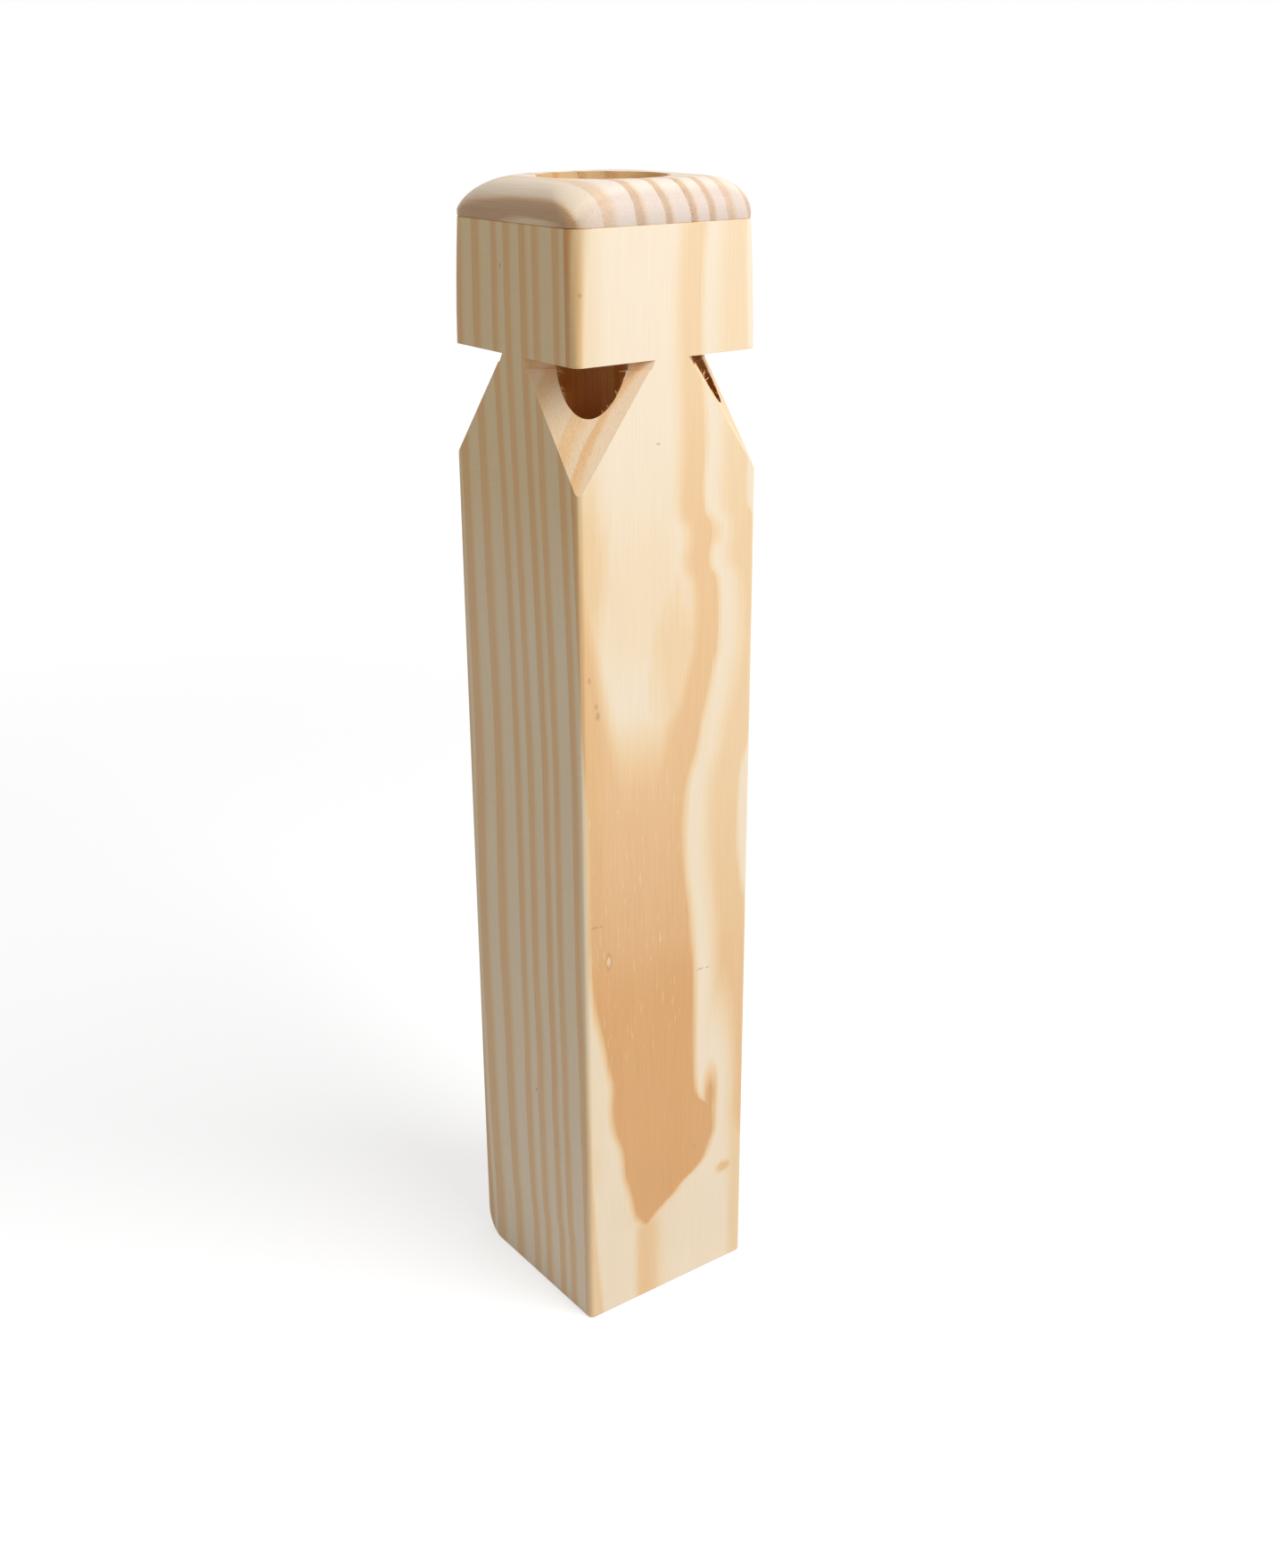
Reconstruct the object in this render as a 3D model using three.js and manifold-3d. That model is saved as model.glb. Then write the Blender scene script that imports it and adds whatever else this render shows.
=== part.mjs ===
// Wooden train whistle: a square pine block with four stopped tubes, a plug in each tube
// that leaves a thin windway along the corner, and a glued mouthpiece plate on top.
// Units are millimetres, +Z is up, and the origin is the middle of the foot.
import * as THREE from 'three';
import { mergeVertices } from 'three/addons/utils/BufferGeometryUtils.js';
import Module from 'manifold-3d';

// Block
const blockWidth = 38;
const shoulderHeight = 184.8;
const headHeight = 21.2;
const edgeRadius = 1.1;
const shoulderCornerRadius = 2.6;
const jointCornerRadius = 4.4;
const footEasing = 0.3;

// Tubes, drilled from the top and stopped at four depths below the shoulder
const boreDiameter = 12.7;
const boreSideInset = 9.5;
const boreFrontInset = 8.6;
const drillPointAngle = 118;
const tubeDepths = { front_left: 150, front_right: 126, rear_right: 112, rear_left: 100 };

// Corner notches, each a flat shoulder over a ramp that opens the tube
const notchLeg = 15.8;
const rampHeight = 21.7;

// Plugs, flattened on the corner side to leave the windway
const glueGap = 0.3;
const windwayDepth = 1.6;
const plugRecess = 4.6;
const plugChamfer = 0.5;

// Mouthpiece plate
const mouthpieceThickness = 6.6;
const mouthpieceRoundover = 5.5;
const mouthpieceTopCornerRadius = 7;
const mouthHoleDiameter = 22;
const mouthHoleEasing = 0.4;
const mouthHoleOverdrill = 3.5;

// Smoothness of the round faces
const cornerSteps = 6;
const easingSteps = 3;
const roundoverSteps = 7;
const boreSegments = 36;
const mouthHoleSegments = 60;

const halfWidth = blockWidth / 2;
const jointHeight = shoulderHeight + headHeight;
const boreRadius = boreDiameter / 2;
const drillPointHeight = boreRadius / Math.tan(THREE.MathUtils.degToRad(drillPointAngle / 2));
const quarterTurn = Math.PI / 2;

const corners = [
  { name: 'front_left', x: -1, y: -1 },
  { name: 'front_right', x: 1, y: -1 },
  { name: 'rear_right', x: 1, y: 1 },
  { name: 'rear_left', x: -1, y: 1 },
];

const wasm = await Module();
wasm.setup();

// Turns a closed three.js geometry into a solid that can be cut and joined.
function toSolid(geometry) {
  const bare = geometry.clone();
  bare.deleteAttribute('normal');
  bare.deleteAttribute('uv');
  const merged = mergeVertices(bare);
  return new wasm.Manifold(new wasm.Mesh({
    numProp: 3,
    vertProperties: new Float32Array(merged.attributes.position.array),
    triVerts: new Uint32Array(merged.index.array),
  }));
}

// Turns a solid back into a geometry with its own face normals.
function toGeometry(solid) {
  const { vertProperties, triVerts } = solid.getMesh();
  const geometry = new THREE.BufferGeometry();
  geometry.setAttribute('position', new THREE.BufferAttribute(vertProperties, 3));
  geometry.setIndex(new THREE.BufferAttribute(triVerts, 1));
  geometry.computeVertexNormals();
  return geometry;
}

// Outline of a square with rounded corners, counter-clockwise seen from above.
function roundedSquare(half, radius) {
  const points = [];
  for (let corner = 0; corner < corners.length; corner += 1) {
    const centre = new THREE.Vector2(half - radius, half - radius);
    centre.rotateAround(new THREE.Vector2(), corner * quarterTurn);
    for (let step = 0; step <= cornerSteps; step += 1) {
      const angle = (corner + step / cornerSteps) * quarterTurn;
      points.push(new THREE.Vector2(radius * Math.cos(angle), radius * Math.sin(angle)).add(centre));
    }
  }
  return points;
}

// Closed body through a stack of outlines that all have the same number of points.
function loft(levels) {
  const positions = levels.flatMap(({ outline, z }) => outline.flatMap((point) => [point.x, point.y, z]));
  const count = levels[0].outline.length;
  const top = (levels.length - 1) * count;
  const indices = [];
  for (let start = 0; start < top; start += count) {
    for (let i = 0; i < count; i += 1) {
      const a = start + i;
      const b = start + ((i + 1) % count);
      indices.push(a, b, b + count, a, b + count, a + count);
    }
  }
  for (const [a, b, c] of THREE.ShapeUtils.triangulateShape(levels[0].outline, [])) {
    indices.push(a, c, b, top + a, top + b, top + c);
  }
  const geometry = new THREE.BufferGeometry();
  geometry.setAttribute('position', new THREE.Float32BufferAttribute(positions, 3));
  geometry.setIndex(indices);
  return geometry;
}

// Solid turned about the Z axis from a profile of [radius, height] pairs.
function turned(profile, segments) {
  const points = profile.map(([radius, height]) => new THREE.Vector2(radius, height));
  return new THREE.LatheGeometry(points, segments).rotateX(quarterTurn);
}

// The square stick, with an eased foot and head corners that round off towards the joint.
// They start to round beside the notches, and are already softer at the shoulder.
function blockBlank() {
  const levels = [];
  for (let step = 0; step <= easingSteps; step += 1) {
    const angle = (step / easingSteps) * quarterTurn;
    const inset = footEasing * (1 - Math.sin(angle));
    levels.push({
      outline: roundedSquare(halfWidth - inset, edgeRadius),
      z: footEasing * (1 - Math.cos(angle)),
    });
  }
  levels.push({ outline: roundedSquare(halfWidth, edgeRadius), z: shoulderHeight - rampHeight });
  levels.push({ outline: roundedSquare(halfWidth, shoulderCornerRadius), z: shoulderHeight });
  levels.push({ outline: roundedSquare(halfWidth, jointCornerRadius), z: jointHeight });
  return loft(levels);
}

// Cutter for one tube: a drill-pointed hole from its stopped end out past the top.
function boreCutter(depth) {
  const bottom = shoulderHeight - depth;
  const outside = jointHeight + boreRadius;
  return turned([
    [0, bottom],
    [boreRadius, bottom + drillPointHeight],
    [boreRadius, outside],
    [0, outside],
  ], boreSegments);
}

// Cutter for one notch, drawn in the upright plane through the corner and the middle.
// It runs as far outside the sharp corner as it reaches inside it.
function notchCutter() {
  const reach = notchLeg / Math.SQRT2;
  const inside = halfWidth * Math.SQRT2 - reach;
  const outside = inside + 2 * reach;
  const profile = new THREE.Shape([
    new THREE.Vector2(inside, shoulderHeight),
    new THREE.Vector2(outside, shoulderHeight - 2 * rampHeight),
    new THREE.Vector2(outside, shoulderHeight),
  ]);
  const width = 4 * reach;
  const geometry = new THREE.ExtrudeGeometry(profile, { depth: width, bevelEnabled: false });
  return geometry.translate(0, 0, -width / 2).rotateX(quarterTurn);
}

// Turn about Z that takes a shape drawn towards +X to one corner of the block.
function cornerAngle(corner) {
  return Math.atan2(corner.y, corner.x);
}

// Middle of the tube at one corner.
function boreCentre(corner) {
  return new THREE.Vector2(corner.x * (halfWidth - boreSideInset), corner.y * (halfWidth - boreFrontInset));
}

function bodyBlock() {
  let solid = toSolid(blockBlank());
  for (const corner of corners) {
    const centre = boreCentre(corner);
    const bore = boreCutter(tubeDepths[corner.name]).translate(centre.x, centre.y, 0);
    const notch = notchCutter().rotateZ(cornerAngle(corner));
    solid = solid.subtract(toSolid(bore)).subtract(toSolid(notch));
  }
  const mouthHole = mouthHoleCutter().translate(0, 0, jointHeight);
  return toGeometry(solid.subtract(toSolid(mouthHole)));
}

// A length of dowel with one flat, drawn with the flat towards +X and its foot at z = 0.
function fipplePlug() {
  const radius = boreRadius - glueGap;
  const flat = boreRadius - windwayDepth;
  const length = headHeight - plugRecess;
  const dowel = turned([
    [0, 0],
    [radius, 0],
    [radius, length - plugChamfer],
    [radius - plugChamfer, length],
    [0, length],
  ], boreSegments);
  const cutter = new THREE.BoxGeometry(blockWidth, blockWidth, blockWidth);
  cutter.translate(flat + blockWidth / 2, 0, length / 2);
  return toGeometry(toSolid(dowel).subtract(toSolid(cutter)));
}

// Cutter for the mouth hole, drawn with the joint at z = 0. It runs through the plate and stops
// a little way into the block, above the plugs, so that it opens into the side of every tube.
// It opens out at 45 degrees to ease its upper rim.
function mouthHoleCutter() {
  const radius = mouthHoleDiameter / 2;
  const easingStart = mouthpieceThickness - mouthHoleEasing;
  const above = 2 * mouthpieceThickness;
  return turned([
    [0, -mouthHoleOverdrill],
    [radius, -mouthHoleOverdrill],
    [radius, easingStart],
    [radius + above - easingStart, above],
    [0, above],
  ], mouthHoleSegments);
}

// The plate's edge is one large roundover above a thin upright band at the joint.
function mouthpiecePlate() {
  const band = mouthpieceThickness - mouthpieceRoundover;
  const levels = [{ outline: roundedSquare(halfWidth, jointCornerRadius), z: 0 }];
  for (let step = 0; step <= roundoverSteps; step += 1) {
    const share = step / roundoverSteps;
    const angle = share * quarterTurn;
    const inset = mouthpieceRoundover * (1 - Math.cos(angle));
    const radius = THREE.MathUtils.lerp(jointCornerRadius, mouthpieceTopCornerRadius, Math.sin(angle));
    levels.push({
      outline: roundedSquare(halfWidth - inset, radius),
      z: band + mouthpieceRoundover * Math.sin(angle),
    });
  }
  return toGeometry(toSolid(loft(levels)).subtract(toSolid(mouthHoleCutter())));
}

function wood(color, roughness) {
  return new THREE.MeshStandardMaterial({ color, roughness, metalness: 0 });
}

const whistle = new THREE.Group();
whistle.name = 'train_whistle';

const block = new THREE.Mesh(bodyBlock(), wood(0xe6c48e, 0.55));
block.name = 'body_block';
whistle.add(block);

const mouthpiece = new THREE.Mesh(mouthpiecePlate(), wood(0xe3c8a8, 0.55));
mouthpiece.name = 'mouthpiece';
mouthpiece.position.z = jointHeight;
whistle.add(mouthpiece);

for (const corner of corners) {
  const plug = new THREE.Mesh(fipplePlug(), wood(0xd9b98a, 0.65));
  plug.name = `fipple_plug_${corner.name}`;
  plug.position.set(boreCentre(corner).x, boreCentre(corner).y, shoulderHeight);
  plug.rotation.z = cornerAngle(corner);
  whistle.add(plug);
}

export default whistle;
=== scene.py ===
# %% [markdown]
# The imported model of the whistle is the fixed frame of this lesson. Every piece that follows
# is built in the same place and at the same size, so nothing has to be fitted afterwards.
# Blender works in metres, while a woodworker thinks in millimetres, so sizes are written in
# millimetres and turned into metres when a mesh is made.

# %% Load the frame
from math import cos, pi, radians, sin, sqrt, tan

import bmesh
import bpy
from mathutils import Matrix, Vector


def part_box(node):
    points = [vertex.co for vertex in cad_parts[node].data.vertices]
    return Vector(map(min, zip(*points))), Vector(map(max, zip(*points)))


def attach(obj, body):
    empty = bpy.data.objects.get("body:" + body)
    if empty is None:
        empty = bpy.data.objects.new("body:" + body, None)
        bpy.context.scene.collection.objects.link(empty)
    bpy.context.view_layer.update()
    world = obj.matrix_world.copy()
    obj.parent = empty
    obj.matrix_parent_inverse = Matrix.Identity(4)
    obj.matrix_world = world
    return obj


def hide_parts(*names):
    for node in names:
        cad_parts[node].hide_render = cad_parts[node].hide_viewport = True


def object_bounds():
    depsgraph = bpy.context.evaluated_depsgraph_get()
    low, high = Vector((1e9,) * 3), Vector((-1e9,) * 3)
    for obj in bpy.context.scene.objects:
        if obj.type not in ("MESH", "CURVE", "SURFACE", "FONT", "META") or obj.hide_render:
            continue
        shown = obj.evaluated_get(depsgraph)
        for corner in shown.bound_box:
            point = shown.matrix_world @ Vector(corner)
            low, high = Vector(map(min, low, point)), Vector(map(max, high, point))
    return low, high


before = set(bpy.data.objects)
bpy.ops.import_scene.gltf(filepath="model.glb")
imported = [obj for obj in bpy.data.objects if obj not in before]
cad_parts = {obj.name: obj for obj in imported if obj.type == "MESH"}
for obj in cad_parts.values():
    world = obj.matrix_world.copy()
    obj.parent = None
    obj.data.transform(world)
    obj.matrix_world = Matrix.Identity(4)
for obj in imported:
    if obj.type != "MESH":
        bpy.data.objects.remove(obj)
cad_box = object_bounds()
MM = 0.001
print("pieces in the frame:", sorted(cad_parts))

# %% [markdown]
# The camera looks down at 22 degrees, off the front left corner, from a little above the
# mouthpiece. It stands only 39 centimetres away, which is why the foot looks narrower than
# the head. Its place was worked out from the straight edges of the block in the photograph.

# %% Camera
CAMERA_PLACE = Vector((-181.9, -255.8, 229.7)) * MM
CAMERA_YAW = radians(36.58)
CAMERA_PITCH = radians(21.96)
CAMERA_ROLL = radians(-0.14)
SENSOR_WIDTH = 36.0
FOCAL_LENGTH = 40.99
NEAREST_SEEN = 10

scene = bpy.context.scene


def show(name, data):
    """An object at the origin that carries a mesh, a lamp or a camera."""
    made = bpy.data.objects.new(name, data)
    scene.collection.objects.link(made)
    return made


camera = show("whistle_camera", bpy.data.cameras.new("whistle_camera"))
camera.data.sensor_width = SENSOR_WIDTH
camera.data.lens = FOCAL_LENGTH
camera.data.clip_start = NEAREST_SEEN * MM
yaw = Matrix.Rotation(-CAMERA_YAW, 4, "Z")
pitch = Matrix.Rotation(pi / 2 - CAMERA_PITCH, 4, "X")
roll = Matrix.Rotation(CAMERA_ROLL, 4, "Z")
camera.matrix_world = Matrix.Translation(CAMERA_PLACE) @ yaw @ pitch @ roll
scene.camera = camera
scene.view_settings.view_transform = "Standard"
print("the camera is", round(CAMERA_PLACE.length, 3), "m from the middle of the foot")

# %% [markdown]
# A material or a light is a small web of nodes. Typing out every node and link would hide
# the idea behind it, so two helpers give one short word to each kind of node. A web adds
# nodes to one tree. A flow is what comes out of a node, and reckoning with a flow adds the
# Math node that does so. An input may be a plain number, a socket or a flow.

# %% Short words for nodes
class Web:
    """Adds nodes to one tree."""

    def __init__(self, tree):
        self.tree = tree

    def node(self, kind, inputs=None, **settings):
        made = self.tree.nodes.new(kind)
        for name, value in settings.items():
            setattr(made, name, value)
        for key, value in (inputs or {}).items():
            self.feed(made.inputs[key], value)
        return made

    def feed(self, socket, value):
        if isinstance(value, Flow):
            value = value.socket
        if isinstance(value, bpy.types.NodeSocket):
            self.tree.links.new(value, socket)
        else:
            socket.default_value = value

    def flow(self, kind, inputs=None, output=0, **settings):
        return Flow(self, self.node(kind, inputs, **settings).outputs[output])

    def math(self, operation, *values):
        return self.flow("ShaderNodeMath", dict(enumerate(values)), operation=operation)

    def vector(self, operation, *values):
        return self.flow("ShaderNodeVectorMath", dict(enumerate(values)), operation=operation)


class Flow:
    """What comes out of a node. Reckoning with it gives another flow."""

    def __init__(self, web, socket):
        self.web = web
        self.socket = socket

    def __add__(self, other):
        return self.web.math("ADD", self, other)

    def __sub__(self, other):
        return self.web.math("SUBTRACT", self, other)

    def __rsub__(self, other):
        return self.web.math("SUBTRACT", other, self)

    def __mul__(self, other):
        return self.web.math("MULTIPLY", self, other)

    def __truediv__(self, other):
        return self.web.math("DIVIDE", self, other)

    def __pow__(self, other):
        return self.web.math("POWER", self, other)

    def __abs__(self):
        return self.web.math("ABSOLUTE", self)

    __radd__ = __add__
    __rmul__ = __mul__

    def at_least(self, other):
        return self.web.math("MAXIMUM", self, other)

    def at_most(self, other):
        return self.web.math("MINIMUM", self, other)

    def between(self, low, high, to_low=0.0, to_high=1.0, smooth=True):
        """Moves a value from one range to another and stops at its ends."""
        inputs = {"Value": self, "From Min": low, "From Max": high,
                  "To Min": to_low, "To Max": to_high}
        kind = "SMOOTHSTEP" if smooth else "LINEAR"
        return self.web.flow("ShaderNodeMapRange", inputs, interpolation_type=kind)

    def slide(self, first, second):
        """A number between two others. A Mix node takes numbers at its inputs 2 and 3."""
        inputs = {0: self, 2: first, 3: second}
        return self.web.flow("ShaderNodeMix", inputs, data_type="FLOAT")

    def mix(self, first, second):
        """A colour between two others, which the same node takes at its inputs 6 and 7."""
        inputs = {0: self, 6: first, 7: second}
        return self.web.flow("ShaderNodeMix", inputs, output=2, data_type="RGBA")

    def ramp(self, stops):
        """A colour ramp from pairs of place and colour."""
        made = self.web.node("ShaderNodeValToRGB", {"Fac": self})
        elements = made.color_ramp.elements
        while len(elements) < len(stops):
            elements.new(1.0)
        for element, (place, colour) in zip(elements, stops):
            element.position = place
            element.color = (*colour, 1.0)
        return Flow(self.web, made.outputs["Color"])

    def tinted(self, tint):
        """A colour times another."""
        return self.web.vector("MULTIPLY", self, tint)

    def brightened(self, factor):
        """A colour times a number."""
        inputs = {0: self, "Scale": factor}
        return self.web.flow("ShaderNodeVectorMath", inputs, operation="SCALE")

    def parts(self):
        """The X, Y and Z of a place."""
        outputs = self.web.node("ShaderNodeSeparateXYZ", {0: self}).outputs
        return [Flow(self.web, output) for output in outputs]

    def noise(self, grain, detail=2.0, roughness=0.5):
        """Soft noise with lumps of about the grain's three sizes, which lies round 0."""
        place = self.web.vector("DIVIDE", self, grain)
        inputs = {"Vector": place, "Scale": 1.0, "Detail": detail, "Roughness": roughness}
        return (self.web.flow("ShaderNodeTexNoise", inputs, output="Fac") - 0.5) * 2.0


def shade(grey):
    """A neutral colour with its alpha."""
    return (grey, grey, grey, 1.0)


def seen_straight(web):
    """1 for rays from the camera and through mirrors or glass, 0 for rays that carry light."""
    rays = web.node("ShaderNodeLightPath").outputs
    seen = web.math("MAXIMUM", rays["Is Camera Ray"], rays["Is Glossy Ray"])
    return seen.at_least(rays["Is Transmission Ray"])


print("white is written", shade(1.0))

# %% [markdown]
# The light is plain and soft. One large lamp stands in front, to the right and above, and a
# dim white sky fills the shadows, so the left side of the block is about half as bright as
# its front. Seen directly or in a reflection the sky is pure white, as the background is.
# A strength of 1 there is white, and it adds no light to the wood.

# %% Sky and lamp
SKY_FILL = 0.42
SKY_SEEN = 1.0
LAMP_WAY = Vector((0.28, -0.69, 0.67))
LAMP_DISTANCE = 0.95
LAMP_SIZE = 0.65
LAMP_WATTS = 7.3

world = bpy.data.worlds.new("white_studio")
world.use_nodes = True
scene.world = world
sky = Web(world.node_tree)
background = world.node_tree.nodes["Background"]
background.inputs["Color"].default_value = shade(1.0)
brightness = seen_straight(sky).between(0.0, 1.0, SKY_FILL, SKY_SEEN, smooth=False)
sky.feed(background.inputs["Strength"], brightness)

lamp = show("soft_lamp", bpy.data.lights.new("soft_lamp", "AREA"))
lamp.data.size = LAMP_SIZE
lamp.data.energy = LAMP_WATTS
middle = (cad_box[0] + cad_box[1]) / 2
lamp.location = middle + LAMP_WAY.normalized() * LAMP_DISTANCE
lamp.rotation_euler = LAMP_WAY.to_track_quat("Z", "Y").to_euler()
print("the lamp stands at", [round(c, 2) for c in lamp.location])

# %% [markdown]
# The floor is a large pale disc. It has to look white, and yet a white floor would throw so
# much light upwards that the shaded side of the block went flat. So it is a light grey that
# glows for the camera only. Near the whistle it glows a little less, so that the soft shadow
# stays visible there, and further out it turns white.

# %% Floor
FLOOR_RADIUS = 4.0
FLOOR_SIDES = 96
FLOOR_GREY = 0.55
GLOW_NEAR = 0.6
GLOW_FAR = 0.82
GLOW_SPAN = (0.25, 0.9)

floor_mesh = bpy.data.meshes.new("floor")
shape = bmesh.new()
bmesh.ops.create_circle(shape, cap_ends=True, segments=FLOOR_SIDES, radius=FLOOR_RADIUS)
shape.to_mesh(floor_mesh)
shape.free()
floor = show("floor", floor_mesh)
floor_paint = bpy.data.materials.new("pale_floor")
floor_paint.use_nodes = True
paint = Web(floor_paint.node_tree)
matt = paint.flow("ShaderNodeBsdfDiffuse", {"Color": shade(FLOOR_GREY)})
spot = paint.flow("ShaderNodeTexCoord", output="Object")
away = paint.flow("ShaderNodeVectorMath", {0: spot}, output="Value", operation="LENGTH")
strength = seen_straight(paint) * away.between(*GLOW_SPAN, GLOW_NEAR, GLOW_FAR)
glow = paint.flow("ShaderNodeEmission", {"Strength": strength})
both = paint.flow("ShaderNodeAddShader", {0: matt, 1: glow})
paint.feed(floor_paint.node_tree.nodes["Material Output"].inputs["Surface"], both)
floor_mesh.materials.append(floor_paint)
print("floor radius", FLOOR_RADIUS, "m")

# %% [markdown]
# The whistle is made of six pieces: the block, the mouthpiece plate and one plug in each
# tube. The frame says how high each of them starts and ends, so those heights are read from
# it. What can't be read from a box, such as a drill's size, is written here once.

# %% Heights and drills
block_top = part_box("body_block")[1]
plug_foot, plug_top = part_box("fipple_plug_front_left")
plate_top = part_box("mouthpiece")[1]
HALF_WIDTH = block_top.x / MM
JOINT_HEIGHT = block_top.z / MM
SHOULDER_HEIGHT = plug_foot.z / MM
PLUG_TOP = plug_top.z / MM
PLATE_TOP = plate_top.z / MM
BORE_RADIUS = 6.35
BORE_SIDE_INSET = 9.5
BORE_FRONT_INSET = 8.6
DRILL_POINT_ANGLE = radians(118)
TUBE_DEPTHS = {"front_left": 150, "front_right": 126, "rear_right": 112, "rear_left": 100}

# The corners in the order in which an outline passes them, anticlockwise from above
CORNERS = {"rear_right": (1, 1), "rear_left": (-1, 1),
           "front_left": (-1, -1), "front_right": (1, -1)}


def bore_centre(corner):
    side, depth = CORNERS[corner]
    return Vector((side * (HALF_WIDTH - BORE_SIDE_INSET), depth * (HALF_WIDTH - BORE_FRONT_INSET)))


print("shoulder at", round(SHOULDER_HEIGHT, 2), "joint at", round(JOINT_HEIGHT, 2),
      "top at", round(PLATE_TOP, 2), "mm")

# %% [markdown]
# Nearly everything here is a stack of outlines with a skin over it. One helper draws a
# rectangle whose sides and corners may all differ, because hand sanding never treats them
# alike. Another joins the rings of a stack into a closed mesh, with a face on each end, or
# with the last ring joined to the first where the piece has a hole through it. Angles,
# heights and shares all run in equal steps, so one more helper spreads them.

# %% Outlines and skins
CORNER_STEPS = 10


def spread(low, high, count):
    """Numbers from low to high in equal steps."""
    return [low + (high - low) * step / count for step in range(count + 1)]


def evenly(inset):
    """The same inset from all four sides."""
    return dict.fromkeys(("left", "right", "front", "rear"), inset)


def rounded_outline(insets, radii, side_steps=1):
    """Points round the block's square, moved in from each side, with side_steps to a side."""
    arcs = []
    for turn, (corner, (side, depth)) in enumerate(CORNERS.items()):
        radius = radii[corner]
        across = HALF_WIDTH - insets["right" if side > 0 else "left"] - radius
        along = HALF_WIDTH - insets["rear" if depth > 0 else "front"] - radius
        centre = Vector((side * across, depth * along))
        angles = [(turn + share) * pi / 2 for share in spread(0, 1, CORNER_STEPS)]
        arcs.append([centre + radius * Vector((cos(angle), sin(angle))) for angle in angles])
    points = []
    for arc, following in zip(arcs, arcs[1:] + arcs[:1]):
        points += arc
        points += [arc[-1].lerp(following[0], share) for share in spread(0, 1, side_steps)[1:-1]]
    return points


def at_height(outline, height):
    return [Vector((point.x, point.y, height)) for point in outline]


def skin(name, rings, through=False):
    """A closed mesh over rings of equal length, which are given in millimetres."""
    shape = bmesh.new()
    rows = [[shape.verts.new(point * MM) for point in ring] for ring in rings]
    for low, high in zip(rows, rows[1:] + (rows[:1] if through else [])):
        for i in range(len(low)):
            shape.faces.new((low[i - 1], low[i], high[i], high[i - 1]))
    if not through:
        shape.faces.new(rows[0])
        shape.faces.new(rows[-1])
    bmesh.ops.recalc_face_normals(shape, faces=shape.faces)
    mesh = bpy.data.meshes.new(name)
    shape.to_mesh(mesh)
    shape.free()
    return mesh


def settle(piece):
    """Turns a piece's modifiers into its own plain mesh."""
    graph = bpy.context.evaluated_depsgraph_get()
    mesh = bpy.data.meshes.new_from_object(piece.evaluated_get(graph))
    piece.modifiers.clear()
    piece.data = mesh
    return piece


print("an outline has", len(rounded_outline(evenly(0), dict.fromkeys(CORNERS, 1.0))), "points")

# %% [markdown]
# The block is a sawn and planed stick of pine. Its long edges are eased with about a
# millimetre of radius, and the head was sanded together with the mouthpiece, so there the
# corners grow rounder towards the joint. One corner of the foot has been knocked off. All of
# that is one stack of outlines whose corner radii change with the height.

# %% The stick
EDGE_RADII = dict.fromkeys(CORNERS, 1.05)
SHOULDER_RADII = {"rear_right": 2.2, "rear_left": 2.4, "front_left": 1.4, "front_right": 2.7}
SANDING_POWER = 1.7
JOINT_RADII = {"rear_right": 4.2, "rear_left": 4.6, "front_left": 3.7, "front_right": 4.6}
ROUNDING_START = 165.0
ROUNDING_STEPS = 8
FOOT_EASING = 0.3
FOOT_STEPS = 4
KNOCKED_CORNER = "rear_left"
KNOCK_HEIGHT = 6.0
KNOCK_RADIUS = 5.4
KNOCK_STEPS = 7
JOINT_EASING = 0.14


def blend_radii(first, second, share):
    """Corner radii part of the way from one set to another."""
    return {corner: first[corner] + (second[corner] - first[corner]) * share for corner in CORNERS}


def corner_radii(height):
    """Radius of each corner at one height of the stick."""
    if height < SHOULDER_HEIGHT:
        share = (height - ROUNDING_START) / (SHOULDER_HEIGHT - ROUNDING_START)
        radii = blend_radii(EDGE_RADII, SHOULDER_RADII, max(share, 0.0))
    else:
        share = (height - SHOULDER_HEIGHT) / (JOINT_HEIGHT - SHOULDER_HEIGHT)
        radii = blend_radii(SHOULDER_RADII, JOINT_RADII, share ** SANDING_POWER)
    if height < KNOCK_HEIGHT:
        fall = 1 - height / KNOCK_HEIGHT
        radii[KNOCKED_CORNER] += KNOCK_RADIUS * (1 - sqrt(1 - fall * fall))
    return radii


def quarter_steps(count):
    """Pairs of run and rise along a quarter circle of radius 1, from its foot."""
    return [(1 - sin(angle), 1 - cos(angle)) for angle in spread(0, pi / 2, count)]


stick_rings = []
for run, rise in quarter_steps(FOOT_STEPS):
    height = rise * FOOT_EASING
    outline = rounded_outline(evenly(run * FOOT_EASING), corner_radii(height))
    stick_rings.append(at_height(outline, height))
heights = spread(FOOT_EASING, KNOCK_HEIGHT, KNOCK_STEPS)[1:]
heights += spread(ROUNDING_START, JOINT_HEIGHT - JOINT_EASING, ROUNDING_STEPS)
for height in heights:
    stick_rings.append(at_height(rounded_outline(evenly(0), corner_radii(height)), height))
eased_top = rounded_outline(evenly(JOINT_EASING), corner_radii(JOINT_HEIGHT))
stick_rings.append(at_height(eased_top, JOINT_HEIGHT))
block = show("pine_block", skin("pine_block", stick_rings))
print("the stick has", len(stick_rings), "rings of", len(stick_rings[0]), "points")

# %% [markdown]
# The tubes are drilled from the top and stopped at four depths. The bit for the mouth hole
# goes through the plate and a little way into the block. Cutting is what the maker did, so
# the mesh is cut too, by pieces in the shape of the drill bits. Each of them carries the
# finish that its tool leaves, and later the cut faces take it over. The drilled finishes add
# painted shade and painted bounce light to those tool marks.

# %% Drill bits
BORE_SIDES = 112
BIT_LEAD = 3.0
TIP_RADIUS = 0.05
HOLE_RADIUS = 11.0
HOLE_OVERDRILL = 3.5

# The tints of the bored and pocket finishes are painted shade and painted bounce light
bored = bpy.data.materials.new("bored_pine")
pocket = bpy.data.materials.new("pocket_pine")


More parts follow.
